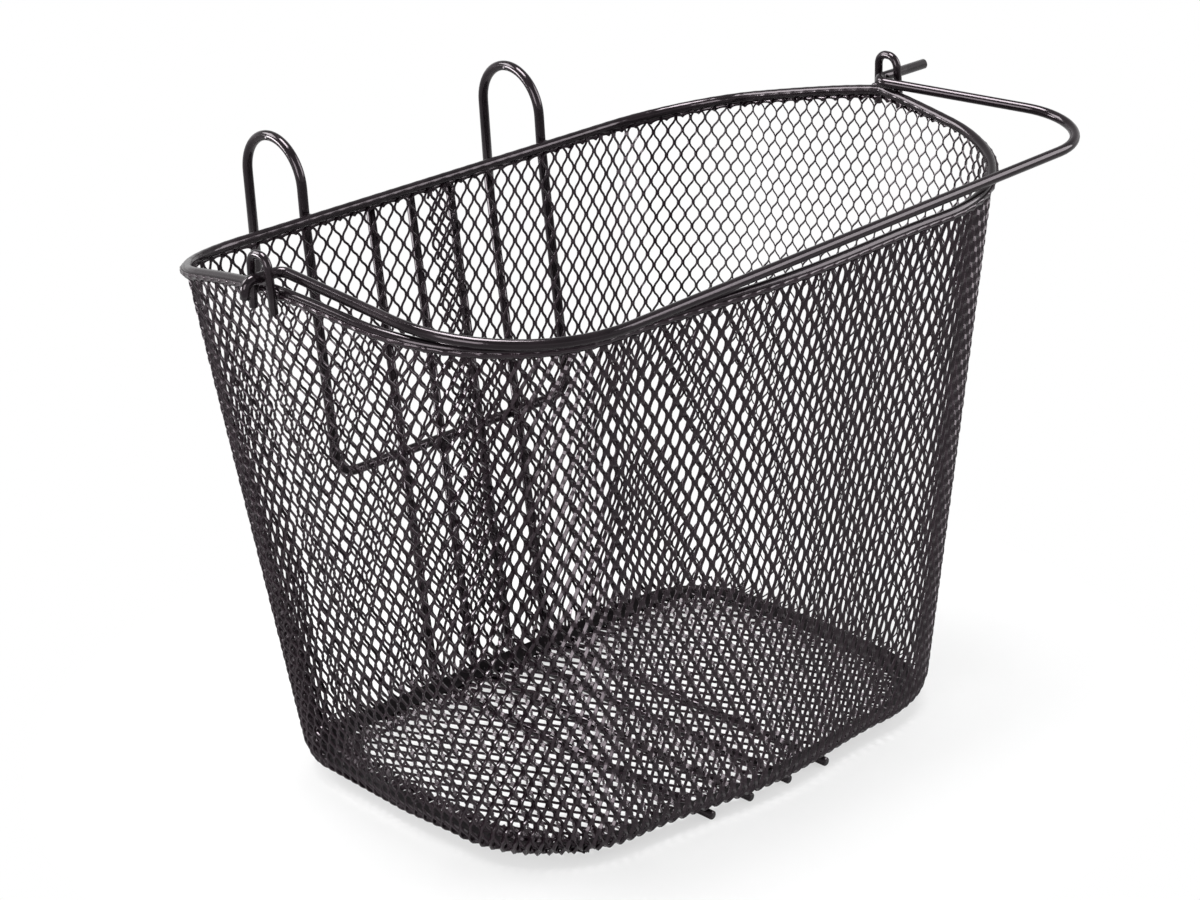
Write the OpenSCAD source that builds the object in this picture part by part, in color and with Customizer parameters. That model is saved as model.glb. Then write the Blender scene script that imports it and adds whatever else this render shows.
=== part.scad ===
// Wire handlebar basket of expanded diamond mesh, with hooks over the handlebar and a swinging bail.
// +X is the rider's right, -Y the front, +Z up. Z = 0 is the ground under the support wires.

/* [Mouth] */
// Half width of the mouth at the ears, to the rim wire's centre
mouth_half_w = 170; // [150:1:190]
// Distance of the rim's back run behind the origin
mouth_back = 94; // [84:1:110]
// Distance of the rim's front corners ahead of the origin
mouth_front = 132; // [120:1:146]
// Radius of the two back corners of the mouth
mouth_back_r = 54; // [42:1:64]
// Radius of the two front corners of the mouth
mouth_front_r = 74; // [55:1:85]
// Angle by which the mouth narrows from the ears to the back corners
mouth_rear_lean = 10; // [2:1:13]
// Angle by which the mouth narrows from the ears to the front corners
mouth_fore_lean = 6; // [0:1:9]
// Bow of the mouth's front run
mouth_bow = 5; // [0:0.5:8]

/* [Base] */
// Half width of the base where the side walls would meet the floor
base_half_w = 129; // [115:1:145]
// Distance of the base's back edge behind the origin
base_back = 75; // [65:1:85]
// Distance of the base's front corners ahead of the origin
base_front = 111; // [98:1:122]
// Radius of the two back corners of the base
base_back_r = 40; // [30:1:48]
// Radius of the two front corners of the base
base_front_r = 56; // [40:1:66]
// Angle by which the base narrows from the middle to the back corners
base_rear_lean = 2; // [0:1:6]
// Angle by which the base narrows from the middle to the front corners
base_fore_lean = 3; // [0:1:6]
// Bow of the base's front edge
base_bow = 7; // [0:0.5:9]
// Radius of the rolled edge between the walls and the floor
edge_r = 12; // [8:0.5:15]

/* [Heights] */
// Height of the rim's centre along the back
rim_back_h = 233.5; // [200:0.5:265]
// Height of the rim's centre at the ears, its highest point
rim_ear_h = 256; // [242:0.5:275]
// Height of the rim's centre along the front
rim_front_h = 241; // [222:0.5:258]

/* [Mesh] */
// Width of one diamond of the mesh
cell_w = 24; // [22:1:32]
// Height of one diamond of the mesh
cell_h = 32; // [28:1:40]
// Width of the mesh strands
strand_w = 2.4; // [1.6:0.1:3.2]
// Thickness of the mesh sheet
mesh_t = 1.4; // [1:0.1:2]

/* [Wires] */
// Diameter of the rim wire
rim_d = 4.5; // [4:0.1:6]
// Diameter of the support wires
support_d = 4; // [3:0.1:5]
// Distance between neighbouring support wires
support_pitch = 22.4; // [16:0.1:28]
// Distance of the support wires' front ends behind the base's front edge
support_inset = 8; // [5:0.5:11]

/* [Hooks] */
// Diameter of the hook frame's wire
hook_d = 4.5; // [4:0.1:6]
// Distance between the two hooks
hook_pitch = 135; // [110:1:160]
// Sideways place of the hooks and support wires from the middle
frame_shift = 0; // [-12:1:12]
// Distance between the two legs of a hook
hook_span = 40; // [32:1:50]
// Height of the hooks' arch centre above the rim
hook_rise = 13; // [8:0.5:30]
// Length of a hook's free leg below its arch
hook_leg = 47; // [30:1:70]
// Height of the hook frame's cross bar below the rim
bar_drop = 120; // [80:1:150]
// Corner radius of the cross bar
bar_r = 10; // [6:1:20]

/* [Ears] */
// Distance of the ears ahead of the origin
ear_y = 19; // [10:1:26]
// Diameter of the ears' wire
ear_d = 3.6; // [3:0.1:4.5]
// Distance between the two legs of an ear
ear_w = 12.4; // [11:0.1:18]
// Height of an ear's top above the rim's centre
ear_top = 17; // [16:0.5:24]
// Length of an ear's legs below the rim's centre
ear_leg = 8; // [4:0.5:14]

/* [Bail] */
// Diameter of the bail's wire
bail_d = 4.5; // [4:0.1:5]
// Gap between the bail's pin and the rim under it
pin_lift = 1.4; // [1.2:0.1:2]
// Length of the right pin outside its ear
right_pin = 21; // [8:1:30]
// Length of the left pin outside its ear
left_pin = 8; // [8:0.5:20]
// Drop of the left pin's turned-down tail below the pin's centre
left_tail = 7; // [6:0.5:14]
// Radius of the bend between the left pin and its tail
tail_bend_r = 4; // [3.5:0.5:5]
// Gap between an ear and the bail's arm inside it
arm_gap = 8.5; // [8:0.5:12]
// Reach of the right arm, from the pins to the bail's right corner
right_reach = 105; // [95:1:112]
// Reach of the left arm, from the pins to the bail's left corner
left_reach = 127; // [118:1:129]
// Sideways splay of the right arm at its corner
right_splay = 50; // [30:1:55]
// Sideways splay of the left arm at its corner
left_splay = -11; // [-16:1:0]
// Radius of the bail's right corner
right_corner_r = 30; // [18:1:40]
// Radius of the bail's left corner
left_corner_r = 65; // [40:1:70]
// Radius of the tight bends between arms and pins
pin_bend_r = 4.5; // [4:0.5:7]
// Gap between the resting bail and the rim's front run
rest_gap = 1.8; // [1.5:0.1:3]

/* [Fits] */
// Gap at welded seats
weld_gap = 0.3; // [0.2:0.05:0.5]
// Gap between neighbouring panels of mesh
panel_gap = 0.2; // [0.1:0.05:0.4]

/* [Hidden] */
$fn = 32;

paint = [0.06, 0.055, 0.06];
wire_sides = 8;

// An outline is [half width, back, front, back radius, front radius, rear lean, fore lean, bow].
mouth = [mouth_half_w, mouth_back, mouth_front, mouth_back_r, mouth_front_r,
         mouth_rear_lean, mouth_fore_lean, mouth_bow];
base = [base_half_w, base_back, base_front, base_back_r, base_front_r,
        base_rear_lean, base_fore_lean, base_bow];

// Centres of an outline's right-hand corner arcs, tangent to the leaning side and to the back or front.
function back_centre(o) =
    [o[0] - (o[3] + sin(o[5]) * (o[1] - o[3] + ear_y)) / cos(o[5]), o[1] - o[3]];
function front_centre(o) =
    [o[0] - (o[4] + sin(o[6]) * (o[2] - o[4] - ear_y)) / cos(o[6]), o[4] - o[2]];
function polar(r, a) = [r * cos(a), r * sin(a)];

// Columns of mesh knots on each stretch of the right half, from the back's middle to the front's.
function columns(mouth_len, base_len) = max(2, round((mouth_len + base_len) / cell_w));
function arc_len(r, a) = r * a * PI / 180;
back_n = columns(back_centre(mouth)[0], back_centre(base)[0]);
back_arc_n = 2 * round(columns(arc_len(mouth_back_r, 90 - mouth_rear_lean),
                               arc_len(base_back_r, 90 - base_rear_lean)) / 2);
rear_n = columns(norm([mouth_half_w, -ear_y] - back_centre(mouth)) - mouth_back_r / 4,
                 norm([base_half_w, -ear_y] - back_centre(base)) - base_back_r / 4);
fore_n = columns(mouth_front - mouth_front_r - ear_y, base_front - base_front_r - ear_y);
front_arc_n = 2 * round(columns(arc_len(mouth_front_r, 90 - mouth_fore_lean),
                                arc_len(base_front_r, 90 - base_fore_lean)) / 2);
front_n = columns(front_centre(mouth)[0], front_centre(base)[0]);
back_end = back_n;
back_arc_end = back_end + back_arc_n;
rear_end = back_arc_end + rear_n;
fore_end = rear_end + fore_n;
front_arc_end = fore_end + front_arc_n;
half_n = front_arc_end + front_n;

// Point of an outline at column i. Columns below 0 and past half_n are on the left, as mirror images.
function outline(o, i) =
    i < 0 ? flip(outline(o, -i)) :
    i > half_n ? flip(outline(o, 2 * half_n - i)) :
    i <= back_end ? [back_centre(o)[0] * i / back_n, o[1]] :
    i <= back_arc_end ? back_centre(o) + polar(o[3], 90 - (90 - o[5]) * (i - back_end) / back_arc_n) :
    i <= rear_end ? blend(back_centre(o) + polar(o[3], o[5]), [o[0], -ear_y], (i - back_arc_end) / rear_n) :
    i <= fore_end ? blend([o[0], -ear_y], front_centre(o) + polar(o[4], -o[6]), (i - rear_end) / fore_n) :
    i <= front_arc_end ? front_centre(o) + polar(o[4], -o[6] - (90 - o[6]) * (i - fore_end) / front_arc_n) :
    front_point(o, (half_n - i) / front_n);
function front_point(o, t) = [front_centre(o)[0] * t, -o[2] - o[7] * (1 + cos(180 * t)) / 2];
function flip(p) = [-p[0], p[1]];
function blend(a, b, t) = a + (b - a) * t;
function unit(v) = v / norm(v);
nudge = 0.1;
function step_along(o, i) = outline(o, i + nudge) - outline(o, i - nudge);
function inward(o, i) = let (d = unit(step_along(o, i))) [d[1], -d[0]];

// The rim climbs from the back and the front to the ears.
rear_climb = 1.2;
fore_climb = 1.3;
function rim_h(y) = y > -ear_y
    ? rim_ear_h - (rim_ear_h - rim_back_h) * pow(min(1, (y + ear_y) / (mouth_back + ear_y)), rear_climb)
    : rim_ear_h - (rim_ear_h - rim_front_h) * pow(min(1, (-ear_y - y) / (mouth_front - ear_y)), fore_climb);
function rim_point(i) = let (p = outline(mouth, i)) [p[0], p[1], rim_h(p[1])];

// The walls: straight from the base outline to the rim, with a rolled edge below.
floor_z = support_d + weld_gap + mesh_t / 2;
edge_rows = 2;
rows = edge_rows + 2 * round((rim_back_h + rim_front_h - 2 * floor_z) / 2 / cell_h);
rim_seat = rim_d / 2 + weld_gap;
function base_point(i) = concat(outline(base, i), floor_z);
function wall_point(i, j) =
    let (b = base_point(i), r = rim_point(i), len = norm(r - b), low = edge_r / len)
    j >= edge_rows ? blend(b, r, blend(low, 1 - rim_seat / len, (j - edge_rows) / (rows - edge_rows)))
                   : rolled_edge(concat(outline(base, i) + edge_r * inward(base, i), floor_z), b,
                                 blend(b, r, low), j / edge_rows);
function rolled_edge(a, b, c, t) = (1 - t) * (1 - t) * a + 2 * t * (1 - t) * b + t * t * c;
function wall_normal(i, j) =
    unit(cross(wall_point(i, min(rows, j + nudge)) - wall_point(i, max(0, j - nudge)),
               wall_point(i + nudge, j) - wall_point(i - nudge, j)));

// One panel of diamond mesh between two columns. Every knot has six points: outer, inner, and the four
// corners of the holes round it. A strand joins the facing points of two knots, and a knot at the
// panel's edge is cut flat there.
knot = strand_w * norm([cell_w, cell_h]) / (cell_w * cell_h);
module mesh_panel(first, last) {
    trim = panel_gap / cell_w;
    flat = 0.02;
    function has(i, j) = i >= first && i <= last && j >= 0 && j <= rows;
    function slot(i, j) = 6 * ((i - first) * rows / 2 + ceil(i / 2) - ceil(first / 2) + (j - abs(i) % 2) / 2);
    function knot_points(i, j) =
        let (c = i == first ? i + trim : i == last ? i - trim : i)
        let (p = wall_point(c, j), n = wall_normal(c, j) * mesh_t / 2)
        [p + n, p - n,
         wall_point(i == last ? c : c + knot, j), wall_point(i == first ? c : c - knot, j),
         wall_point(c, j + (j == rows ? -flat : knot)), wall_point(c, j - (j == 0 ? -flat : knot))];
    function rising(a, b) = [[a, b, b + 3], [a, b + 3, a + 4], [a, a + 2, b + 5], [a, b + 5, b],
                             [a + 1, a + 4, b + 3], [a + 1, b + 3, b + 1],
                             [a + 1, b + 1, b + 5], [a + 1, b + 5, a + 2]];
    function falling(a, b) = [[a, b, b + 4], [a, b + 4, a + 2], [a, a + 5, b + 3], [a, b + 3, b],
                              [a + 1, a + 2, b + 4], [a + 1, b + 4, b + 1],
                              [a + 1, b + 1, b + 3], [a + 1, b + 3, a + 5]];
    function closed(a, u, v) = [[a, v, u], [a + 1, u, v]];
    spots = [for (i = [first : last]) for (j = [abs(i) % 2 : 2 : rows]) [i, j]];
    points = [for (s = spots) each knot_points(s[0], s[1])];
    faces = [for (s = spots) let (i = s[0], j = s[1], a = slot(i, j)) each concat(
        has(i + 1, j + 1) ? rising(a, slot(i + 1, j + 1)) : closed(a, a + 4, a + 2),
        has(i + 1, j - 1) ? falling(a, slot(i + 1, j - 1)) : closed(a, a + 2, a + 5),
        has(i - 1, j - 1) ? [] : closed(a, a + 5, a + 3),
        has(i - 1, j + 1) ? [] : closed(a, a + 3, a + 4))];
    color(paint) polyhedron(points, faces);
}
module back_mesh() {
    mesh_panel(-back_end, back_end);
}
module front_mesh() {
    mesh_panel(front_arc_end, 2 * half_n - front_arc_end);
}
module back_corner_1(side) {
    mirror([side, 0, 0]) mesh_panel(back_end, back_end + back_arc_n / 2);
}
module back_corner_2(side) {
    mirror([side, 0, 0]) mesh_panel(back_end + back_arc_n / 2, back_arc_end);
}
module rear_side(side) {
    mirror([side, 0, 0]) mesh_panel(back_arc_end, rear_end);
}
module fore_side(side) {
    mirror([side, 0, 0]) mesh_panel(rear_end, fore_end);
}
module front_corner_1(side) {
    mirror([side, 0, 0]) mesh_panel(fore_end, fore_end + front_arc_n / 2);
}
module front_corner_2(side) {
    mirror([side, 0, 0]) mesh_panel(fore_end + front_arc_n / 2, front_arc_end);
}

// Floor: a flat sheet of the same diamonds inside a plain border.
floor_border = 3;
module floor_outline(inset) {
    polygon([for (i = [-half_n : half_n - 1]) outline(base, i) + (edge_r + inset) * inward(base, i)]);
}
module diamond(w, h) {
    polygon([[-w / 2, 0], [0, -h / 2], [w / 2, 0], [0, h / 2]]);
}
module floor_mesh() {
    columns_out = ceil(base_half_w / (cell_w / 2));
    rows_out = ceil((base_front + base_bow) / (cell_h / 2));
    hole = 1 - knot;
    color(paint) translate([0, 0, floor_z - mesh_t / 2]) linear_extrude(mesh_t) difference() {
        floor_outline(panel_gap);
        intersection() {
            floor_outline(panel_gap + floor_border);
            for (i = [-columns_out : columns_out])
                for (j = [-rows_out : rows_out])
                    if ((i + j) % 2 == 0)
                        translate([i * cell_w / 2, j * cell_h / 2]) diamond(cell_w * hole, cell_h * hole);
        }
    }
}

// A round wire along a line of points, with flat ends unless it closes on itself.
module tube(line, d, closed = false) {
    count = len(line);
    function before(k) = line[closed ? (k + count - 1) % count : max(0, k - 1)];
    function after(k) = line[closed ? (k + 1) % count : min(count - 1, k + 1)];
    ways = [for (k = [0 : count - 1]) unit(unit(after(k) - line[k] + tiny) + unit(line[k] - before(k) + tiny))];
    function square_to(n, w) = unit(n - w * (n * w));
    start = square_to(abs(ways[0][2]) < 0.9 ? [0, 0, 1] : [0, 1, 0], ways[0]);
    sides = [for (k = 0, n = start; k < count; k = k + 1, n = square_to(n, ways[min(k, count - 1)])) n];
    points = [for (k = [0 : count - 1]) let (u = sides[k], v = cross(ways[k], u))
        each [for (s = [0 : wire_sides - 1])
            line[k] + d / 2 * (cos(360 * s / wire_sides) * u + sin(360 * s / wire_sides) * v)]];
    skin = [for (k = [0 : count - (closed ? 1 : 2)]) for (s = [0 : wire_sides - 1])
        let (a = k * wire_sides, b = ((k + 1) % count) * wire_sides, n = (s + 1) % wire_sides)
        each [[a + s, b + n, a + n], [a + s, b + s, b + n]]];
    ends = closed ? [] : [[for (s = [0 : wire_sides - 1]) s],
                          [for (s = [wire_sides - 1 : -1 : 0]) (count - 1) * wire_sides + s]];
    polyhedron(points, concat(skin, ends));
}
tiny = [1e-9, 1e-9, 1e-9];

// A line through corner points, with a round bend of the given radius at each inner one. The setback is
// the length that a bend takes off the straight runs before and after it.
function turn(a, b, c) = acos(unit(b - a) * unit(c - b));
function setback(a, b, c, r) = r * tan(turn(a, b, c) / 2);
function bend(a, b, c, r) =
    let (u = unit(b - a), w = unit(c - b), angle = turn(a, b, c), n = unit(w - u * (u * w)))
    let (from = b - u * setback(a, b, c, r), steps = max(1, round(angle / bend_step)))
    [for (k = [0 : steps]) from + n * r * (1 - cos(angle * k / steps)) + u * r * sin(angle * k / steps)];
function bent(p, radii) =
    [p[0], for (k = [1 : len(p) - 2]) each bend(p[k - 1], p[k], p[k + 1], radii[k]), p[len(p) - 1]];
bend_step = 15;

// Rim: one closed hoop of wire.
module rim_wire() {
    color(paint) tube([for (i = [-half_n : half_n - 1]) rim_point(i)], rim_d, closed = true);
}

// Support wires: down the outside of the back wall and forward under the floor.
wall_lean = atan2(mouth_back - base_back, rim_back_h - floor_z);
function behind_wall(z, gap) =
    mouth_back - (rim_back_h - z) * tan(wall_lean) + (mesh_t / 2 + gap) / cos(wall_lean);
support_top = rim_back_h - rim_d / 2 - support_d / 2;
module support_wire(n) {
    x = frame_shift + (n - 2.5) * support_pitch;
    off = support_d / 2 + weld_gap;
    path = [[x, behind_wall(support_top, off), support_top], [x, behind_wall(support_d / 2, off), support_d / 2],
            [x, support_inset - base_front - base_bow, support_d / 2]];
    color(paint) tube(bent(path, [0, edge_r, 0]), support_d);
}

// Hook frame: one wire, with two hooks over the handlebar and a cross bar low on the back wall.
hook_y = mouth_back + rim_d / 2 + hook_d / 2 + weld_gap;
bar_z = rim_back_h - bar_drop;
bar_y = behind_wall(bar_z, support_d + 2 * weld_gap + hook_d / 2);
arch_slack = 0.01;
module hook_frame() {
    arch_z = rim_back_h + hook_rise;
    arch_r = hook_span / 2 - arch_slack;
    far_y = hook_y + hook_span;
    half = hook_pitch / 2;
    function leg(x) = [[x, far_y, arch_z - hook_leg], [x, far_y, arch_z + hook_span / 2],
                       [x, hook_y, arch_z + hook_span / 2], [x, hook_y, rim_back_h], [x, bar_y, bar_z]];
    right = leg(frame_shift + half);
    path = concat(leg(frame_shift - half), [for (k = [4 : -1 : 0]) right[k]]);
    color(paint) tube(bent(path, [0, arch_r, arch_r, bar_r, bar_r, bar_r, bar_r, arch_r, arch_r, 0]), hook_d);
}

// Ears: small staples welded outside the rim, in which the bail's pins turn.
ear_x = mouth_half_w + rim_d / 2 + ear_d / 2 + weld_gap;
module ear() {
    arch_z = rim_ear_h + ear_top - ear_d / 2 - ear_w / 2;
    foot_z = rim_ear_h - ear_leg;
    color(paint) translate([ear_x, -ear_y, 0]) {
        for (s = [-1, 1])
            translate([0, s * ear_w / 2, foot_z]) cylinder(h = arch_z - foot_z, d = ear_d);
        translate([0, 0, arch_z]) rotate([90, 0, 90])
            rotate_extrude(angle = 180) translate([ear_w / 2, 0]) circle(d = ear_d);
    }
}

// Bail: one wire with a pin in each ear, lying on the front rim. It hangs over to the right, and its left
// end is turned down outside the ear.
pin_z = rim_ear_h + rim_d / 2 + bail_d / 2 + pin_lift;
bail_rest_z = rim_front_h + rim_d / 2 + bail_d / 2 + rest_gap;
bail_dip = atan2(pin_z - bail_rest_z, mouth_front - ear_y + rim_d / 2);
arm_x = ear_x - ear_d / 2 - arm_gap;
pin_lap = 0.6;
pin_step = 0.1;
module bail() {
    right_x = ear_x + ear_d / 2 + right_pin;
    left_x = -ear_x - ear_d / 2 - left_pin;
    right_root = [arm_x, 0, 0];
    right_turn = [arm_x + right_splay, -right_reach, 0];
    left_turn = [-arm_x - left_splay, -left_reach, 0];
    left_root = [-arm_x, 0, 0];
    right_start = arm_x + setback([right_x, 0, 0], right_root, right_turn, pin_bend_r) + pin_lap;
    left_start = -arm_x - setback(left_turn, left_root, [left_x, 0, 0], pin_bend_r) - pin_lap;
    path = [[right_start + pin_lap, 0, 0], right_root, right_turn,
            left_turn, left_root, [left_start - pin_lap, 0, 0]];
    radii = [0, pin_bend_r, right_corner_r, left_corner_r, pin_bend_r, 0];
    tail_x = left_x + bail_d / 2;
    tail_start = tail_x + tail_bend_r + pin_lap;
    tail = [[tail_start + pin_lap, 0, 0], [tail_x, 0, 0], [tail_x, 0, -left_tail]];
    color(paint) translate([0, -ear_y, pin_z]) rotate([bail_dip, 0, 0]) {
        tube(bent(path, radii), bail_d - pin_step);
        translate([right_start, 0, 0]) rotate([0, 90, 0]) cylinder(h = right_x - right_start, d = bail_d);
        tube(bent(tail, [0, tail_bend_r, 0]), bail_d - pin_step);
        translate([tail_start, 0, 0]) rotate([0, 90, 0]) cylinder(h = left_start - tail_start, d = bail_d);
    }
}

rim_wire();
back_mesh();
front_mesh();
rear_side(0);  // right_rear_mesh
fore_side(0);  // right_fore_mesh
rear_side(1);  // left_rear_mesh
fore_side(1);  // left_fore_mesh
back_corner_1(0);  // back_right_mesh_1
back_corner_2(0);  // back_right_mesh_2
back_corner_1(1);  // back_left_mesh_1
back_corner_2(1);  // back_left_mesh_2
front_corner_1(0);  // front_right_mesh_1
front_corner_2(0);  // front_right_mesh_2
front_corner_1(1);  // front_left_mesh_1
front_corner_2(1);  // front_left_mesh_2
floor_mesh();
support_wire(1);  // support_wire_1
support_wire(2);  // support_wire_2
support_wire(3);  // support_wire_3
support_wire(4);  // support_wire_4
hook_frame();
ear();  // right_ear
mirror([1, 0, 0]) ear();  // left_ear
bail();
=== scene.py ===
from types import SimpleNamespace

import bpy
import numpy as np
from mathutils import Matrix


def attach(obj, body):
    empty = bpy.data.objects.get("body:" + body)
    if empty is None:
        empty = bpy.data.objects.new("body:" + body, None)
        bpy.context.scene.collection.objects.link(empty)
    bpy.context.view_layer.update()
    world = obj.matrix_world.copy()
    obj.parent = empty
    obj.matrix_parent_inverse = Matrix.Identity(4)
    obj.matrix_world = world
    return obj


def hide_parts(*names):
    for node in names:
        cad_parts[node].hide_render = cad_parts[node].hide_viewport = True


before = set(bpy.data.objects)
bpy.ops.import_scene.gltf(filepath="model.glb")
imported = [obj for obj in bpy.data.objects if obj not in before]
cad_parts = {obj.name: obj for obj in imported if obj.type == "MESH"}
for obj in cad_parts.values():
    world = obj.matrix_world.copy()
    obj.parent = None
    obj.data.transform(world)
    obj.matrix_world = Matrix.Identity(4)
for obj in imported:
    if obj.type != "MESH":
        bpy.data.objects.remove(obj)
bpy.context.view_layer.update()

# Rim: one hoop of 4.5 mm mild steel wire, bent round the mouth and closed by a butt weld. It climbs from the
# back and from the front to the two sides, where the ears are, and carries all the rest.
MM = 0.001
EAR_Y = -19.0
RIM_D = 4.5
RIM_BACK_Z, RIM_EAR_Z, RIM_FRONT_Z = 233.5, 256.0, 241.0
REAR_CLIMB, FORE_CLIMB = 1.2, 1.3
HOURS = 12
MOUTH = SimpleNamespace(half=170.0, back=94.0, front=132.0, back_r=54.0, front_r=74.0,
                        rear_lean=10.0, fore_lean=6.0, bow=5.0)


def outline(edge, hour):
    """Point of a closed outline at an hour of the clock, seen from above, with 12 at the back's middle. From
    there to the front's middle at 6 are six stretches of an hour: half the straight back, the back corner's
    arc, the straight rear side, the straight fore side, the front corner's arc and half the bowed front.
    The rest is their mirror image."""
    rear, fore = np.radians(edge.rear_lean), np.radians(edge.fore_lean)
    hour = np.mod(np.asarray(hour, float) + HOURS / 2, HOURS) - HOURS / 2
    past = np.abs(hour)
    back_y, front_y = edge.back - edge.back_r, edge.front_r - edge.front
    back_x = edge.half - (edge.back_r + np.sin(rear) * (back_y - EAR_Y)) / np.cos(rear)
    front_x = edge.half - (edge.front_r + np.sin(fore) * (EAR_Y - front_y)) / np.cos(fore)
    back_turn = np.pi / 2 - (np.pi / 2 - rear) * (past - 1)
    front_turn = -fore - (np.pi / 2 - fore) * (past - 4)
    rear_x, rear_y = back_x + edge.back_r * np.cos(rear), back_y + edge.back_r * np.sin(rear)
    fore_x, fore_y = front_x + edge.front_r * np.cos(fore), front_y - edge.front_r * np.sin(fore)
    stretch = np.minimum(past.astype(int), 5)
    x = np.choose(stretch, [back_x * past,
                            back_x + edge.back_r * np.cos(back_turn),
                            rear_x + (edge.half - rear_x) * (past - 2),
                            edge.half + (fore_x - edge.half) * (past - 3),
                            front_x + edge.front_r * np.cos(front_turn),
                            front_x * (6 - past)])
    y = np.choose(stretch, [np.full_like(past, edge.back),
                            back_y + edge.back_r * np.sin(back_turn),
                            rear_y + (EAR_Y - rear_y) * (past - 2),
                            EAR_Y + (fore_y - EAR_Y) * (past - 3),
                            front_y + edge.front_r * np.sin(front_turn),
                            -edge.front - edge.bow * (1 + np.cos(np.pi * (6 - past))) / 2])
    return np.stack([np.where(hour < 0, -x, x), y], -1)


def rim_line(hour):
    """Centre of the rim wire at an hour: the mouth's outline, at the ears' height less a power of the
    distance from the ears, which brings it down to the back and to the front."""
    xy = outline(MOUTH, hour)
    y = xy[..., 1]
    behind = np.clip((y - EAR_Y) / (MOUTH.back - EAR_Y), 0, 1) ** REAR_CLIMB
    ahead = np.clip((EAR_Y - y) / (EAR_Y + MOUTH.front), 0, 1) ** FORE_CLIMB
    z = RIM_EAR_Z - (RIM_EAR_Z - RIM_BACK_Z) * behind - (RIM_EAR_Z - RIM_FRONT_Z) * ahead
    return np.concatenate([xy, z[..., None]], -1)


def unit(vectors):
    """Vectors divided by their lengths."""
    return vectors / np.linalg.norm(vectors, axis=-1, keepdims=True)


def skin(kept, ring, closed=False):
    """Faces over rows of profile rings. kept (rows, rings) says which rings are there. Each kept pair of
    neighbours gets one quad per side of the profile, and each end of a run gets a flat cap."""
    rows, rings = kept.shape
    here = (np.arange(rows * rings).reshape(rows, rings) * ring)[..., None]
    after = np.roll(here, -1, 1)
    side = np.arange(ring)
    beside = np.roll(side, -1)
    joined = kept & np.roll(kept, -1, 1)
    if not closed:
        joined[:, -1] = False
    quads = np.stack([here + side, after + side, after + beside, here + beside], -1)[joined].reshape(-1, 4)
    if closed:
        return [quads]
    first = joined & ~np.roll(joined, 1, 1)
    last = joined & ~np.roll(joined, -1, 1)
    return [quads, (here + side)[first], (after + side[::-1])[last]]


def sleeve(points, closed=False):
    """Faces over one row of profile rings, all of which are there."""
    return skin(np.ones((1, points.shape[0]), bool), points.shape[1], closed)


def piece(name, points, faces, finish, body, nodes=(), smooth=True):
    """A mesh object of points in millimetres and arrays of faces, with unused points dropped."""
    corners = np.concatenate([array.ravel() for array in faces])
    used, corners = np.unique(corners, return_inverse=True)
    sizes = np.concatenate([np.full(len(array), array.shape[1]) for array in faces])
    mesh = bpy.data.meshes.new(name)
    mesh.vertices.add(len(used))
    mesh.vertices.foreach_set("co", (points.reshape(-1, 3)[used] * MM).ravel())
    mesh.loops.add(len(corners))
    mesh.loops.foreach_set("vertex_index", corners)
    mesh.polygons.add(len(sizes))
    mesh.polygons.foreach_set("loop_start", np.concatenate([[0], np.cumsum(sizes)[:-1]]))
    mesh.polygons.foreach_set("loop_total", sizes)
    mesh.polygons.foreach_set("use_smooth", np.full(len(sizes), smooth))
    mesh.update(calc_edges=True)
    mesh.validate()
    mesh.materials.append(finish)
    made = bpy.data.objects.new(name, mesh)
    bpy.context.scene.collection.objects.link(made)
    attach(made, body)
    if nodes:
        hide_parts(*nodes)


WIRE_SIDES = 18


def tube(path, diameter, ref, closed=False, swell=0.0):
    """A round wire: circles square to a path. Their radius is half the diameter plus swell, which may differ
    from point to point. One axis of a circle is the path's direction crossed with a fixed vector ref, which
    the path never follows, and the other is square to both."""
    if closed:
        along = unit(np.roll(path, -1, 0) - np.roll(path, 1, 0))
    else:
        along = unit(np.gradient(path, axis=0))
    across = unit(np.cross(along, ref))[:, None]
    out = np.cross(along[:, None], across)
    turn = np.linspace(0, 2 * np.pi, WIRE_SIDES, endpoint=False)[:, None]
    radius = np.broadcast_to(diameter / 2 + np.asarray(swell), len(path))[:, None, None]
    points = path[:, None] + radius * (np.cos(turn) * out + np.sin(turn) * across)
    return points, sleeve(points, closed)


def srgb(code):
    """Linear colour of an sRGB hex value: its dark end is a straight line and the rest a power."""
    level = np.array([int(code[first:first + 2], 16) for first in (1, 3, 5)]) / 255
    return (*np.where(level <= 0.04045, level / 12.92, ((level + 0.055) / 1.055) ** 2.4), 1.0)


def add(tree, kind, links=(), **settings):
    """Adds a node: settings fill its inputs, or its own values, and links are (output, input) pairs."""
    node = tree.nodes.new(kind)
    for key, value in settings.items():
        if key in node.inputs:
            node.inputs[key].default_value = value
        else:
            setattr(node, key, value)
    for output, socket in links:
        tree.links.new(output, node.inputs[socket])
    return node


RANGE = ("From Min", "From Max", "To Min", "To Max")
PEEL_MM, PEEL_DEPTH_MM, PEEL_STRENGTH = 1.6, 0.25, 0.12
CLOUD_MM = 14.0
TONES_AT = (0.35, 0.7)
GLOSS_AT = (0.3, 0.7)
SHINE = "#fff0f9"


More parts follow.
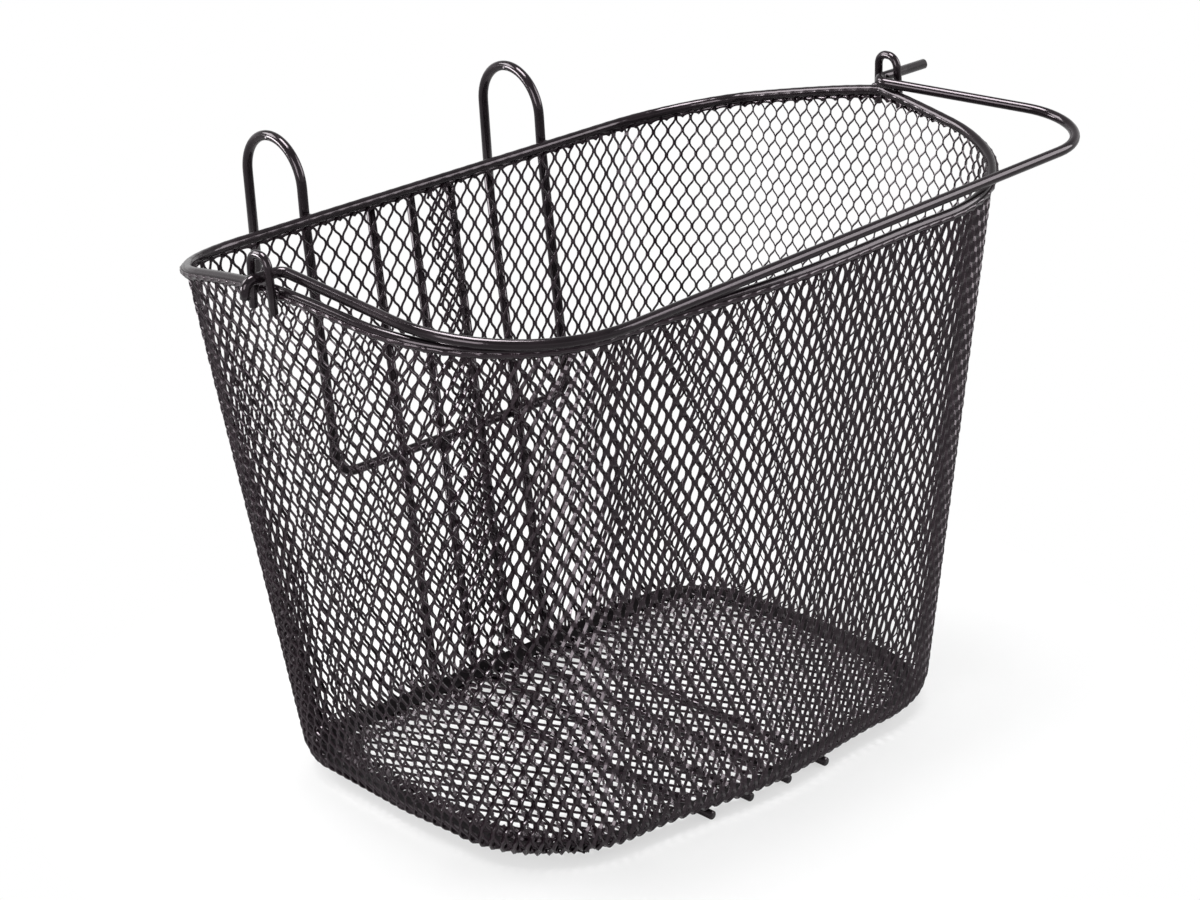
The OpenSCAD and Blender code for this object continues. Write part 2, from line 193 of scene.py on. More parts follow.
def enamel(name, dark, light, smooth, dull, ior):
    """A stoved enamel: two tones and two roughnesses in slow clouds, and fine dimples of orange peel."""
    made = bpy.data.materials.new(name)
    made.use_nodes = True
    tree = made.node_tree
    shader = tree.nodes["Principled BSDF"]
    place = [(add(tree, "ShaderNodeTexCoord").outputs["Object"], "Vector")]
    peel = add(tree, "ShaderNodeTexNoise", place, Scale=1 / (PEEL_MM * MM), Detail=2.0, Roughness=0.5)
    cloud = add(tree, "ShaderNodeTexNoise", place, Scale=1 / (CLOUD_MM * MM), Detail=3.0, Roughness=0.6)
    tone = add(tree, "ShaderNodeValToRGB", [(cloud.outputs["Fac"], "Fac")])
    for element, position, code in zip(tone.color_ramp.elements, TONES_AT, (dark, light)):
        element.position = position
        element.color = srgb(code)
    gloss = add(tree, "ShaderNodeMapRange", [(cloud.outputs["Fac"], "Value")],
                **dict(zip(RANGE, (*GLOSS_AT, smooth, dull))))
    dimple = add(tree, "ShaderNodeBump", [(peel.outputs["Fac"], "Height")], Strength=PEEL_STRENGTH,
                 Distance=PEEL_DEPTH_MM * MM)
    tree.links.new(tone.outputs["Color"], shader.inputs["Base Color"])
    tree.links.new(gloss.outputs["Result"], shader.inputs["Roughness"])
    tree.links.new(dimple.outputs["Normal"], shader.inputs["Normal"])
    shader.inputs["IOR"].default_value = ior
    shader.inputs["Specular Tint"].default_value = srgb(SHINE)
    return made


# Black enamel on the wires: a thick dipped coat, smooth and glossy. The eye sees a near black with long
# bright lines where it mirrors the lamps.
wire_enamel = enamel("black_enamel_on_wire", "#0c090b", "#151013", 0.1, 0.18, 1.42)

# The mesh is rolled over the hoop, so its folded bonds stand out as small knuckles, behind and on the right.
HOOP_STEPS = 96
KNUCKLE_MM, KNUCKLE_RISE, KNUCKLE_POWER = 7.5, 0.07, 4
ROLL_HOURS = (3.4, 4.4, 9.6, 11.0)
hour = np.arange(HOURS * HOOP_STEPS) / HOOP_STEPS
hoop = rim_line(hour)
run = np.cumsum(np.linalg.norm(hoop - np.roll(hoop, 1, 0), axis=1))
knuckles = np.round(run[-1] / KNUCKLE_MM)
coarse = np.interp(hour, ROLL_HOURS, (1, 0, 0, 1))
swell = KNUCKLE_RISE * coarse * np.cos(np.pi * knuckles * run / run[-1]) ** KNUCKLE_POWER
points, faces = tube(hoop, RIM_D, (0, 0, 1), closed=True, swell=swell)
piece("rim_hoop", points, faces, wire_enamel, "basket", ["rim_wire"])

# Walls: one strip of expanded steel mesh, slit upright and stretched sideways so that its strands stand on
# edge. It is wrapped round the wire hoop, rolled under at the bottom and lapped in the middle of the back.
BASE = SimpleNamespace(half=129.0, back=75.0, front=111.0, back_r=40.0, front_r=56.0,
                       rear_lean=2.0, fore_lean=3.0, bow=7.0)
FLOOR_Z = 5.0
EDGE_R = 12.0
EDGE_ROWS, WALL_ROWS, TAIL_ROWS = 3, 43, 2
ROW_MM = 5.7
COLUMNS = np.cumsum([0, 26, 20, 19, 12, 30, 25, 25, 30, 13, 19, 20, 26])
HOUR_STEP = 0.02


def hour_of(column):
    """Hour of the outlines at a column: each stretch of an hour holds a number of columns, evenly spread."""
    return np.interp(np.mod(column, COLUMNS[-1]), COLUMNS, np.arange(HOURS + 1))


def foot_line(hour):
    """Corner of wall and floor at an hour: the base's outline at the floor's height."""
    xy = outline(BASE, hour)
    return np.concatenate([xy, np.full(xy.shape[:-1] + (1,), FLOOR_Z)], -1)


def wall(column, row):
    """Point of the wall. Rows count from the inner end of the rolled edge: below 0 flat under the floor,
    then a quadratic curve round the corner of wall and floor, then equal steps straight up to the rim."""
    hour = hour_of(column)
    corner = foot_line(hour)
    along = unit(outline(BASE, hour + HOUR_STEP) - outline(BASE, hour - HOUR_STEP))
    inward = np.stack([along[..., 1], -along[..., 0], np.zeros_like(hour)], -1)
    upward = unit(rim_line(hour) - corner)
    row = np.broadcast_to(row, hour.shape)[..., None]
    part = np.clip(row / EDGE_ROWS, 0, 1)
    under, above = corner + EDGE_R * inward, corner + EDGE_R * upward
    rolled = (1 - part) ** 2 * under + 2 * part * (1 - part) * corner + part ** 2 * above
    rise = np.clip(row - EDGE_ROWS, 0, None) * ROW_MM
    tail = np.clip(-row, 0, None) * ROW_MM
    return rolled + rise * upward + tail * inward


# How the strip is wrapped: it slides down by one opening, and at each hour its columns lean by a part of a
# column for every row above one that stays in place.
SKEW_ROWS, SKEW_COLUMNS = 2, 30
LEAN = (0.17, 0.16, 0.06, 0.0, -0.04, -0.1, -0.12, -0.1, -0.08, -0.05, -0.02, 0.08, 0.17)
LEAN_ROW = 24


def wrapped(column, row):
    """Column and row of the wall where a column and row of the wrapped strip come to lie. Its rows slide
    down to the right behind, by two rows or one whole opening in thirty columns. Its columns lean by the
    hours' shares, with straight lines between them, times the rows above the one that stays."""
    place = np.mod(column, COLUMNS[-1])
    row = row + SKEW_ROWS * np.clip(1 - place / SKEW_COLUMNS, 0, 1)
    return column + np.interp(place, COLUMNS, LEAN) * (row - LEAN_ROW), row


def strip(column, row):
    """Point of the wrapped strip."""
    return wall(*wrapped(column, row))


def on_wall(column, row):
    """True where a row of the wrapped strip is between the strip's lower end and the rim's centre."""
    column, row = wrapped(column, row)
    hour = hour_of(column)
    slope = np.linalg.norm(rim_line(hour) - foot_line(hour), axis=-1)
    return (row > -TAIL_ROWS) & (EDGE_R + (row - EDGE_ROWS) * ROW_MM < slope)


# Strands: each is a narrow strip of the sheet with bevelled edges, turned about its length. A bond takes up
# a share of each row at both its ends, and there the neighbours overlap a little.
STRAND_W, STRAND_T, BEVEL = 1.35, 0.75, 0.3
STRAND_TILT = np.radians(45.0)
BOND, BOND_REACH = 0.14, 0.9
STOPS = (BOND, 0.36, 0.64, 1 - BOND)
S_BEND = 0.07
PROBE = 0.04
half_w, half_t = STRAND_W / 2, STRAND_T / 2
quarter = np.array([[half_w, half_t * (1 - BEVEL)], [half_w - half_t * BEVEL, half_t]])
SECTION = np.concatenate([quarter, quarter[::-1] * (-1, 1), -quarter, quarter[::-1] * (1, -1)])


def facing(surface, column, row):
    """Way out of a surface of columns and rows, and way to the right on it, from the differences between
    points a small step to each side."""
    right = surface(column + PROBE, row) - surface(column - PROBE, row)
    up = surface(column, row + PROBE) - surface(column, row - PROBE)
    return unit(np.cross(up, right)), right


def strands(surface, kept, columns, rows, gauge, shift=(0.0, 0.0, 0.0)):
    """Expanded mesh on a surface of columns and rows. Each strand climbs through the rows in its own column
    and swings from the bond on one side to the bond on the other, along the bonds and in an S between them.
    Its section is turned about its length. gauge scales the section, at the lowest row and at the uppermost,
    and shift moves the pattern by columns and rows, and outward in mm."""
    number = np.arange(*columns)[:, None]
    stop = (np.arange(*rows)[:, None] + STOPS).ravel()[None]
    swing = np.clip((1 - np.abs(np.mod(stop + number, 2) - 1) - BOND) / (1 - 2 * BOND), 0, 1)
    swing = swing - S_BEND * np.sin(2 * np.pi * swing)
    middle = number + 0.5 + 0 * stop + shift[0]
    row = stop + 0 * number + shift[1]
    pitch = np.linalg.norm(surface(middle + 0.5, row) - surface(middle - 0.5, row), axis=-1)
    size = np.interp(row, (0, EDGE_ROWS + WALL_ROWS), gauge)
    reach = BOND_REACH * STRAND_W * size
    column = middle + (swing - 0.5) * (1 - reach * np.cos(STRAND_TILT) / pitch)
    outward, right = facing(surface, column, row)
    lift = (swing - 0.5) * reach * np.sin(STRAND_TILT) + shift[2]
    path = surface(column, row) + outward * lift[..., None]
    along = unit(np.gradient(path, axis=1))
    outward = unit(outward - along * (outward * along).sum(-1, keepdims=True))
    across = np.cross(outward, along)
    across *= np.sign((across * right).sum(-1, keepdims=True))
    flat = np.cos(STRAND_TILT) * across - np.sin(STRAND_TILT) * outward
    face = np.cross(flat, along)
    section = SECTION[:, :1] * flat[:, :, None] + SECTION[:, 1:] * face[:, :, None]
    points = path[:, :, None] + size[:, :, None, None] * section
    return points, skin(kept(column, row), len(SECTION))


# Black enamel on the mesh: a thin coat, a little duller and browner, that gathers in the bonds. The eye sees
# dark strands with soft grey sides.
mesh_enamel = enamel("black_enamel_on_mesh", "#100a0e", "#1b1217", 0.12, 0.24, 1.5)

# Strip's panels: the columns each covers, and the gauge of its strands at the floor and at the rim. The
# gauges are matched to the photograph, where glare thins the strands behind and on the right.
PANELS = {
    "back_mesh": (-26, 26, (0.94, 0.73)),
    "back_right_mesh_1": (26, 36, (0.76, 0.7)),
    "back_right_mesh_2": (36, 46, (0.74, 0.73)),
    "right_rear_mesh": (46, 65, (0.72, 0.8)),
    "right_fore_mesh": (65, 77, (0.72, 0.86)),
    "front_right_mesh_1": (77, 92, (0.76, 1.02)),
    "front_right_mesh_2": (92, 107, (0.82, 1.12)),
    "front_mesh": (107, 157, (0.95, 1.12)),
    "front_left_mesh_2": (157, 172, (1.17, 1.14)),
    "front_left_mesh_1": (172, 187, (1.4, 1.02)),
    "left_fore_mesh": (187, 200, (1.05, 0.85)),
    "left_rear_mesh": (200, 219, (1.04, 0.82)),
    "back_left_mesh_2": (219, 229, (1.18, 0.8)),
    "back_left_mesh_1": (229, 238, (1.14, 0.77)),
}
STRIP_ROWS = (-TAIL_ROWS - SKEW_ROWS, EDGE_ROWS + WALL_ROWS)
for node, (first, last, gauge) in PANELS.items():
    points, faces = strands(strip, on_wall, (first, last), STRIP_ROWS, gauge)
    piece(node.replace("mesh", "strands"), points, faces, mesh_enamel, "basket", [node], smooth=False)

# Lap: the far end of the wall's strip, a few columns of the same expanded steel mesh. It lies over the near
# end on the outside of the back, between the middle two support wires, and is spot welded there.
LAP_COLUMNS = (-1.0, 2.8)
LAP_SEARCH = (-8, 8)
LAP_ROWS = (EDGE_ROWS, EDGE_ROWS + WALL_ROWS)
LAP_GAUGE, LAP_SHIFT = (0.9, 0.9), (1.0, 0.2, 0.9)


def on_lap(column, row):
    """True where the strip is on the wall and between the lap's two cut edges."""
    across = wrapped(column, row)[0]
    return on_wall(column, row) & (across > LAP_COLUMNS[0]) & (across < LAP_COLUMNS[1])


points, faces = strands(strip, on_lap, LAP_SEARCH, LAP_ROWS, LAP_GAUGE, LAP_SHIFT)
piece("lapped_strands", points, faces, mesh_enamel, "basket", smooth=False)

# Rolled edge: the lowest rows of the wall's strip, the same expanded steel mesh, folded back on themselves
# where the wall turns under the floor. The doubled strands make the dense dark foot of the basket.
FOLD_ROWS = (0, 2)
FOLD_GAUGE, FOLD_SHIFT = (0.8, 0.8), (0.9, 0.3, -0.9)
points, faces = strands(wall, on_wall, (0, COLUMNS[-1]), FOLD_ROWS, FOLD_GAUGE, FOLD_SHIFT)
piece("folded_strands", points, faces, mesh_enamel, "basket", smooth=False)

# Hem: the strip's uncut upper border of plain steel, folded against the inside of the hoop. Its lower edge
# is scalloped where the uppermost openings end, and the folded bonds stand out as small knuckles.
# The profile's corners go inward and up from the hoop's middle. Two of them hang down to the scallops.
HEM = np.array([[2.95, 0.5], [2.75, -1.0], [2.0, -2.2], [0.9, -1.0],
                [0.1, -1.0], [1.2, -2.0], [2.2, -0.9], [2.3, 0.5]])
HEM_DROP = np.array([0, 0, 0, 1, 1, 0, 0, 0])
HEM_KNUCKLE = np.array([0.3, 0.5, 0.6, 0.4, 0, 0, 0, 0])
HEM_DEPTHS = (2.7, 0.7, 0.7, 2.7)
SCALLOP, SCALLOP_ROUND, FOLD_POWER = 1.4, 0.97, 8
HEM_STEP = 0.25
column = np.arange(0, COLUMNS[-1], HEM_STEP)
hour = hour_of(column)
top = rim_line(hour)
upward = unit(top - wall(column, EDGE_ROWS))
sideways = unit(np.roll(top, -1, 0) - np.roll(top, 1, 0))
inward = unit(np.cross(upward, sideways))
aside = np.abs(np.mod(column, 2) - 1)
drop = np.interp(hour, ROLL_HOURS, HEM_DEPTHS) + SCALLOP * (1 - np.sqrt(1 - SCALLOP_ROUND * aside ** 2))
knuckle = np.cos(np.pi / 2 * column) ** FOLD_POWER
across = HEM[:, 0] + HEM_KNUCKLE * knuckle[:, None]
high = HEM[:, 1] - HEM_DROP * drop[:, None]
points = top[:, None] + across[..., None] * inward[:, None] + high[..., None] * upward[:, None]
piece("scalloped_hem", points, sleeve(points, closed=True), mesh_enamel, "basket")

# Floor: a flat sheet of the same expanded steel mesh, with its slits from front to back. It is cut to the
# base's outline, laid over the rolled edge and welded to it.
FLOOR_LIFT, FLOOR_INSET = 0.9, 6.5
FLOOR_COLUMN_MM, FLOOR_ROW_MM = 3.7, 6.2
FLOOR_COLUMNS, FLOOR_ROWS = (-35, 35), (-20, 14)
FLOOR_GAUGE = (0.84, 0.84)
RIGHT_HOURS = np.linspace(6, 1, 400)


def floor_sheet(column, row):
    """Flat sheet: columns to the right, rows to the back."""
    high = np.full_like(column, FLOOR_Z + FLOOR_LIFT)
    return np.stack([column * FLOOR_COLUMN_MM, row * FLOOR_ROW_MM, high], -1)


def on_floor(column, row):
    """True where a point of the sheet is inside the base's outline by the inset."""
    x, y, _ = np.moveaxis(floor_sheet(column, row), -1, 0)
    edge = outline(BASE, RIGHT_HOURS)
    reach = np.interp(y, edge[:, 1], edge[:, 0])
    inside = (y < BASE.back - FLOOR_INSET) & (y > FLOOR_INSET - BASE.front)
    return inside & (np.abs(x) < reach - FLOOR_INSET)


points, faces = strands(floor_sheet, on_floor, FLOOR_COLUMNS, FLOOR_ROWS, FLOOR_GAUGE)
piece("floor_strands", points, faces, mesh_enamel, "basket", ["floor_mesh"], smooth=False)

# Floor's border: the floor sheet's uncut edge, a band of plain steel. It is turned up inside the rolled edge
# all the way round and spot welded to the folds.
BORDER_ROWS = (-0.3, 0.1, 0.5, 0.9, 1.3)
BORDER_STEP = 0.5
BORDER_T = 0.6

# Black enamel with painted shade: the same coat where layers of mesh lie close together, painted near black
# and given a weak, dull reflection, to stand in for the shade that keeps light from coming back out of them.
painted_shade_enamel = enamel("black_enamel_with_painted_shade", "#040304", "#080607", 0.3, 0.5, 1.18)

column, row = np.meshgrid(np.arange(0, COLUMNS[-1], BORDER_STEP), BORDER_ROWS, indexing="ij")
outward, _ = facing(wall, column, row)
under = wall(column, row) - FLOOR_LIFT * outward
lining = under - BORDER_T * outward
points = np.concatenate([lining, under[:, ::-1]], axis=1)
# The floor's border is drawn in the enamel with painted shade, darker than the mesh it folds into.
piece("floor_border", points, sleeve(points, closed=True), painted_shade_enamel, "basket", smooth=False)

# Support wires: four 4 mm steel wires, each bent once, welded down the outside of the back and under the
# floor. Their cut ends show below the front edge.
SUPPORT_D = 4.0
SUPPORTS, SUPPORT_PITCH, SUPPORT_INSET = 4, 22.4, 8.0
SEAT = 0.3
MESH_T = 1.4
WALL_LEAN = np.arctan2(MOUTH.back - BASE.back, RIM_BACK_Z - FLOOR_Z)
BEND_STEP = 6.0
SAME_MM = 0.001


def bent(corners, radii):
    """Path through corner points with a round bend at each inner one: an arc that starts and ends at the
    radius times the tangent of half the turn from the corner, in steps of a few degrees."""
    corners = np.asarray(corners, float)
    runs = [corners[:1]]
    for before, corner, after, radius in zip(corners[:-2], corners[1:-1], corners[2:], radii):
        come, go = unit(corner - before), unit(after - corner)
        turn = np.arccos(np.clip(come @ go, -1, 1))
        angle = np.linspace(0, turn, max(2, int(np.degrees(turn) / BEND_STEP) + 1))[:, None]
        side = unit(go - come * (come @ go))
        start = corner - come * radius * np.tan(turn / 2)
        runs.append(start + side * radius * (1 - np.cos(angle)) + come * radius * np.sin(angle))
    line = np.concatenate(runs + [corners[-1:]])
    return line[np.append(True, np.linalg.norm(np.diff(line, axis=0), axis=1) > SAME_MM)]


def behind_wall(z, gap):
    """Y of a wire's centre outside the back wall at height z: the wall's line, half the mesh and a gap."""
    return MOUTH.back - (RIM_BACK_Z - z) * np.tan(WALL_LEAN) + (MESH_T / 2 + gap) / np.cos(WALL_LEAN)


support_z = SUPPORT_D / 2
support_top = RIM_BACK_Z - RIM_D / 2 - SUPPORT_D / 2
support_gap = SUPPORT_D / 2 + SEAT
support_x = (np.arange(SUPPORTS) - (SUPPORTS - 1) / 2) * SUPPORT_PITCH
for number, x in enumerate(support_x, 1):
    line = bent([(x, behind_wall(support_top, support_gap), support_top),
                 (x, behind_wall(support_z, support_gap), support_z),
                 (x, SUPPORT_INSET - BASE.front - BASE.bow, support_z)], [EDGE_R])
    points, faces = tube(line, SUPPORT_D, (1, 0, 0))
    piece(f"support_rod_{number}", points, faces, wire_enamel, "basket", [f"support_wire_{number}"])

# Hook frame: one 4.5 mm steel wire bent into two hooks for the handlebar and a cross bar. It is welded
# behind the rim and over the support wires.
HOOK_D = 4.5
HOOK_PITCH, HOOK_SPAN, HOOK_RISE, HOOK_LEG = 135.0, 40.0, 13.0, 47.0
BAR_DROP, BAR_R = 120.0, 10.0
# An arch's two bends are a hair smaller than half the span, so that they don't run into each other.
HAIR = 0.01
hook_y = MOUTH.back + RIM_D / 2 + HOOK_D / 2 + SEAT
arch_z = RIM_BACK_Z + HOOK_RISE
arch_top = arch_z + HOOK_SPAN / 2
arch_r = HOOK_SPAN / 2 - HAIR
bar_z = RIM_BACK_Z - BAR_DROP
bar_y = behind_wall(bar_z, SUPPORT_D + 2 * SEAT + HOOK_D / 2)
leg = [(hook_y + HOOK_SPAN, arch_z - HOOK_LEG), (hook_y + HOOK_SPAN, arch_top), (hook_y, arch_top),
       (hook_y, RIM_BACK_Z), (bar_y, bar_z)]
left_x, right_x = -HOOK_PITCH / 2, HOOK_PITCH / 2
line = bent([(left_x, *corner) for corner in leg] + [(right_x, *corner) for corner in leg[::-1]],
            [arch_r, arch_r, BAR_R, BAR_R, BAR_R, BAR_R, arch_r, arch_r])
points, faces = tube(line, HOOK_D, (0.7, 0.7, 0))
piece("hook_wire", points, faces, wire_enamel, "basket", ["hook_frame"])

# Ears: two staples of 3.6 mm steel wire welded outside the rim. Their legs splay a little, and the bail's
# ends turn in them.
EAR_D = 3.6
EAR_TOP, EAR_LEG = 17.0, 8.0
EAR_ARCH, EAR_FOOT = 5.4, 6.8
EAR_BEND_R = 0.93 * EAR_ARCH
ear_x = MOUTH.half + RIM_D / 2 + EAR_D / 2 + SEAT
ear_peak = RIM_EAR_Z + EAR_TOP - EAR_D / 2
ear_foot = RIM_EAR_Z - EAR_LEG
for side, node in ((1, "right_ear"), (-1, "left_ear")):
    line = bent([(side * ear_x, EAR_Y - EAR_FOOT, ear_foot), (side * ear_x, EAR_Y - EAR_ARCH, ear_peak),
                 (side * ear_x, EAR_Y + EAR_ARCH, ear_peak), (side * ear_x, EAR_Y + EAR_FOOT, ear_foot)],
                [EAR_BEND_R, EAR_BEND_R])
    points, faces = tube(line, EAR_D, (1, 0, 0))
    piece(node.replace("ear", "staple"), points, faces, wire_enamel, "basket", [node])

# Bail: one 4.5 mm steel wire. Both ends are bent sideways into pins through the ears, and the left end is
# turned down to keep it in. It lies on the front rim, over to the right.
BAIL_D = 4.5
PIN_LIFT, REST_GAP = 1.4, 1.8
RIGHT_PIN, LEFT_PIN, ARM_GAP = 21.0, 8.0, 8.5
RIGHT_REACH, LEFT_REACH, RIGHT_SPLAY, LEFT_SPLAY = 105.0, 127.0, 50.0, -11.0
RIGHT_CORNER_R, LEFT_CORNER_R, PIN_BEND_R = 30.0, 65.0, 4.5
TAIL, TAIL_R = 7.0, 4.0
pin_z = RIM_EAR_Z + RIM_D / 2 + BAIL_D / 2 + PIN_LIFT
rest_z = RIM_FRONT_Z + RIM_D / 2 + BAIL_D / 2 + REST_GAP
dip = np.arctan2(pin_z - rest_z, MOUTH.front + EAR_Y + RIM_D / 2)
arm_x = ear_x - EAR_D / 2 - ARM_GAP
tip_x = ear_x + EAR_D / 2 + RIGHT_PIN
hook_x = -ear_x - EAR_D / 2 - LEFT_PIN + BAIL_D / 2
line = bent([(tip_x, 0, 0), (arm_x, 0, 0), (arm_x + RIGHT_SPLAY, -RIGHT_REACH, 0),
             (-arm_x - LEFT_SPLAY, -LEFT_REACH, 0), (-arm_x, 0, 0), (hook_x, 0, 0), (hook_x, 0, -TAIL)],
            [PIN_BEND_R, RIGHT_CORNER_R, LEFT_CORNER_R, PIN_BEND_R, TAIL_R])
points, faces = tube(line, BAIL_D, (0.08, 0.3, 0.95))
tilt = np.array(Matrix.Rotation(dip, 3, "X"))
piece("bail_wire", points @ tilt.T + (0, EAR_Y, pin_z), faces, wire_enamel, "bail", ["bail"])

# Welds: beads of steel left where wire was welded to wire, at the hooks, the cross bar, the ears and the
# tops of the support wires. The enamel runs over them and makes them smooth.
HOOK_BEAD, BAR_BEAD = (3.2, 1.5, 2.0), (2.4, 1.2, 2.4)
EAR_BEAD, TOP_BEAD = (1.2, 2.3, 2.0), (2.6, 2.0, 2.0)
BEAD_SIDES, BEAD_RINGS, BEAD_POLE = 14, 9, 0.08
EAR_BEAD_IN, EAR_BEAD_DOWN, EAR_BEAD_Y = 0.2, 0.3, 0.95 * EAR_FOOT
TOP_BEAD_UP = 1.5
ear_weld_x = ear_x - EAR_D / 2 - EAR_BEAD_IN
ear_weld_z = RIM_EAR_Z - EAR_BEAD_DOWN
bar_weld_y = behind_wall(bar_z, SUPPORT_D + SEAT)
top_weld_y = behind_wall(support_top, support_gap)
welds = [((x, MOUTH.back + RIM_D / 2, RIM_BACK_Z), HOOK_BEAD) for x in (left_x, right_x)]
welds += [((x, bar_weld_y, bar_z), BAR_BEAD) for x in support_x]
welds += [((x, EAR_Y + y, ear_weld_z), EAR_BEAD) for x in (-ear_weld_x, ear_weld_x)
          for y in (-EAR_BEAD_Y, EAR_BEAD_Y)]
welds += [((x, top_weld_y, support_top + TOP_BEAD_UP), TOP_BEAD) for x in support_x]
centres, halves = np.array(welds)[:, :, None, None].swapaxes(0, 1)
# A bead is an ellipsoid on a grid of turns and heights, cut flat close to both poles.
turn = np.linspace(2 * np.pi, 0, BEAD_SIDES, endpoint=False)
high = np.linspace(BEAD_POLE - np.pi / 2, np.pi / 2 - BEAD_POLE, BEAD_RINGS)[:, None]
ball = np.stack([np.cos(high) * np.cos(turn), np.cos(high) * np.sin(turn), np.sin(high) + 0 * turn], -1)
points = centres + ball * halves
piece("weld_beads", points, skin(np.ones(points.shape[:2], bool), BEAD_SIDES), wire_enamel, "basket")

# Studio: a pale sweep of paper that goes on to the horizon, soft light from above and both sides, and the
# camera at the photograph's place.
SWEEP = 6.0
PAPER = "#c4c4c4"
WHITE = (1, 1, 1, 1)
# Far off the paper glows white to the eye, and less to what mirrors it. Between two distances from the
# basket's middle the glow gives way to soft shade.
SHADE_NEAR, SHADE_FAR, SHADE_GLOW = 0.13, 0.26, 0.6
MIRRORED_GLOW = 0.6
ground = bpy.data.meshes.new("studio_floor")
ground.from_pydata([(-SWEEP, -SWEEP, 0), (SWEEP, -SWEEP, 0), (SWEEP, SWEEP, 0), (-SWEEP, SWEEP, 0)], [],
                   [(0, 1, 2, 3)])
studio_floor = bpy.data.objects.new("studio_floor", ground)
bpy.context.scene.collection.objects.link(studio_floor)
paper = bpy.data.materials.new("white_paper_sweep")
paper.use_nodes = True
ground.materials.append(paper)
tree = paper.node_tree
tree.nodes.clear()
rays = add(tree, "ShaderNodeLightPath").outputs
seen = add(tree, "ShaderNodeMath", [(rays["Is Camera Ray"], 0), (rays["Is Glossy Ray"], 1)],
           operation="MAXIMUM")
seen = add(tree, "ShaderNodeMath", [(seen.outputs[0], 0), (rays["Is Transmission Ray"], 1)],
           operation="MAXIMUM")
place = add(tree, "ShaderNodeTexCoord").outputs["Object"]
distance = add(tree, "ShaderNodeVectorMath", [(place, 0)], operation="LENGTH")
fade = add(tree, "ShaderNodeMapRange", [(distance.outputs["Value"], "Value")],
           **dict(zip(RANGE, (SHADE_NEAR, SHADE_FAR, SHADE_GLOW, 1.0))))
share = add(tree, "ShaderNodeMath", [(seen.outputs[0], 0), (fade.outputs[0], 1)], operation="MULTIPLY")
strength = add(tree, "ShaderNodeMapRange", [(rays["Is Glossy Ray"], "Value")],
               **dict(zip(RANGE, (0.0, 1.0, 1.0, MIRRORED_GLOW))))
matt = add(tree, "ShaderNodeBsdfDiffuse", Color=srgb(PAPER))
glow = add(tree, "ShaderNodeEmission", [(strength.outputs[0], "Strength")], Color=WHITE)
mixed = add(tree, "ShaderNodeMixShader", [(share.outputs[0], "Fac"), (matt.outputs[0], 1),
                                          (glow.outputs[0], 2)])
add(tree, "ShaderNodeOutputMaterial", [(mixed.outputs[0], "Surface")])

# The room is white to the eye. It lights the basket most from low down and less from above.
ROOM_LOW, ROOM_HIGH, ROOM_HIGH_Z = 1.0, 0.36, 0.5
world = bpy.data.worlds.new("white_room")
bpy.context.scene.world = world
world.use_nodes = True
tree = world.node_tree
tree.nodes.clear()
rays = add(tree, "ShaderNodeLightPath").outputs
seen = add(tree, "ShaderNodeMath", [(rays["Is Camera Ray"], 0), (rays["Is Transmission Ray"], 1)],
           operation="MAXIMUM")
look = add(tree, "ShaderNodeTexCoord").outputs["Generated"]
height = add(tree, "ShaderNodeSeparateXYZ", [(look, 0)])
level = add(tree, "ShaderNodeMapRange", [(height.outputs["Z"], "Value")],
            **dict(zip(RANGE, (0.0, ROOM_HIGH_Z, ROOM_LOW, ROOM_HIGH))))
room = add(tree, "ShaderNodeBackground", [(level.outputs[0], "Strength")], Color=WHITE)
backdrop = add(tree, "ShaderNodeBackground", Color=WHITE, Strength=1.0)
mixed = add(tree, "ShaderNodeMixShader", [(seen.outputs[0], "Fac"), (room.outputs[0], 1),
                                          (backdrop.outputs[0], 2)])
add(tree, "ShaderNodeOutputWorld", [(mixed.outputs[0], "Surface")])


def stand(name, data, right, up, back, place):
    """A lamp or a camera at a place, with its axes to the right, up, and back from what it looks at."""
    made = bpy.data.objects.new(name, data)
    bpy.context.scene.collection.objects.link(made)
    axes = np.eye(4)
    axes[:3] = np.stack([right, up, back, place], -1)
    made.matrix_world = Matrix(axes.tolist())
    return made


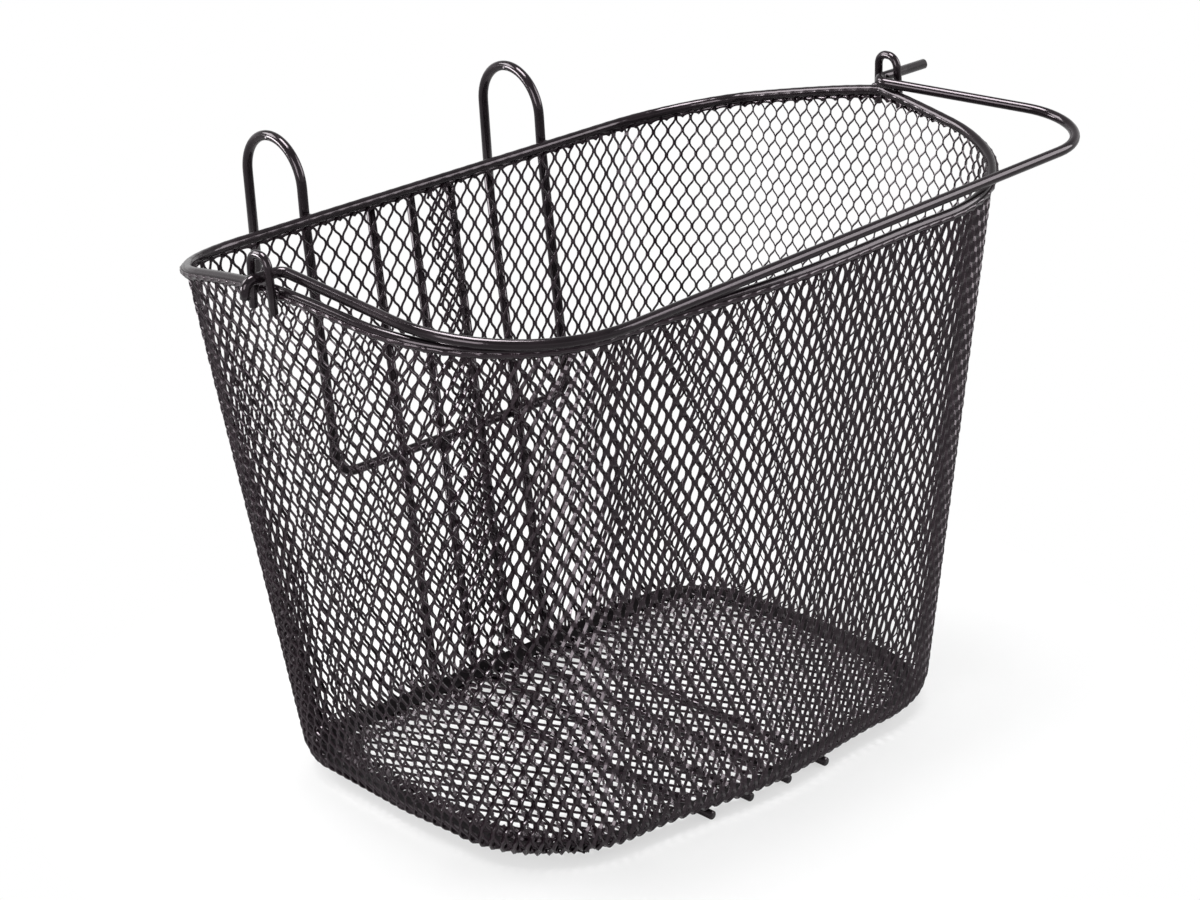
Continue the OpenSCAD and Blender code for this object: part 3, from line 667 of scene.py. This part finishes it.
# Softboxes: place, aim, width in metres and power in watts.
SOFTBOXES = {
    "top_box": ((-0.1, 0.2, 1.7), (0, 0, 0.1), 0.7, 46),
    "back_box": ((-0.8, 1.5, 1.45), (0, 0, 0.15), 1.0, 36),
    "fill_box": ((-1.7, -0.55, 0.75), (0, 0, 0.15), 0.9, 20),
    "side_box": ((-1.35, 1.3, 0.3), (-0.17, 0, 0.2), 0.5, 24),
    "right_box": ((1.5, -1.0, 1.0), (0, 0, 0.12), 1.2, 30),
}
STEEP = 0.95
UPRIGHT, BACKWARD = (0, 0, 1), (0.01, 1, 0)
for name, (place, aim, width, power) in SOFTBOXES.items():
    lamp = bpy.data.lights.new(name, "AREA")
    lamp.size = width
    lamp.energy = power
    back = unit(np.subtract(place, aim))
    right = unit(np.cross(BACKWARD if back[2] > STEEP else UPRIGHT, back))
    stand(name, lamp, right, np.cross(back, right), back, place)

# Camera: fitted to the photograph, with its focal length and the shift of its centre in the photo's pixels.
AZIMUTH, ELEVATION, ROLL = np.radians([-39.575, 22.551, -3.67])
TARGET, DISTANCE = np.array([0, 0, 0.1131]), 1.59997
FOCAL_PX, CENTRE_X, CENTRE_Y, WIDTH_PX, SENSOR_MM = 3642.54, -13.252, 34.549, 1200, 36.0
FAR = 50.0
level = np.array([np.cos(AZIMUTH), np.sin(AZIMUTH), 0])
away = np.array([np.sin(AZIMUTH), -np.cos(AZIMUTH), 0])
back = away * np.cos(ELEVATION) + np.array(UPRIGHT) * np.sin(ELEVATION)
upright = np.cross(back, level)
right = level * np.cos(ROLL) + upright * np.sin(ROLL)
up = upright * np.cos(ROLL) - level * np.sin(ROLL)
lens = bpy.data.cameras.new("camera")
lens.sensor_fit = "HORIZONTAL"
lens.sensor_width = SENSOR_MM
lens.lens = FOCAL_PX * SENSOR_MM / WIDTH_PX
lens.shift_x = -CENTRE_X / WIDTH_PX
lens.shift_y = CENTRE_Y / WIDTH_PX
lens.clip_end = FAR
bpy.context.scene.camera = stand("camera", lens, right, up, back, TARGET + back * DISTANCE)
bpy.context.scene.view_settings.view_transform = "Standard"
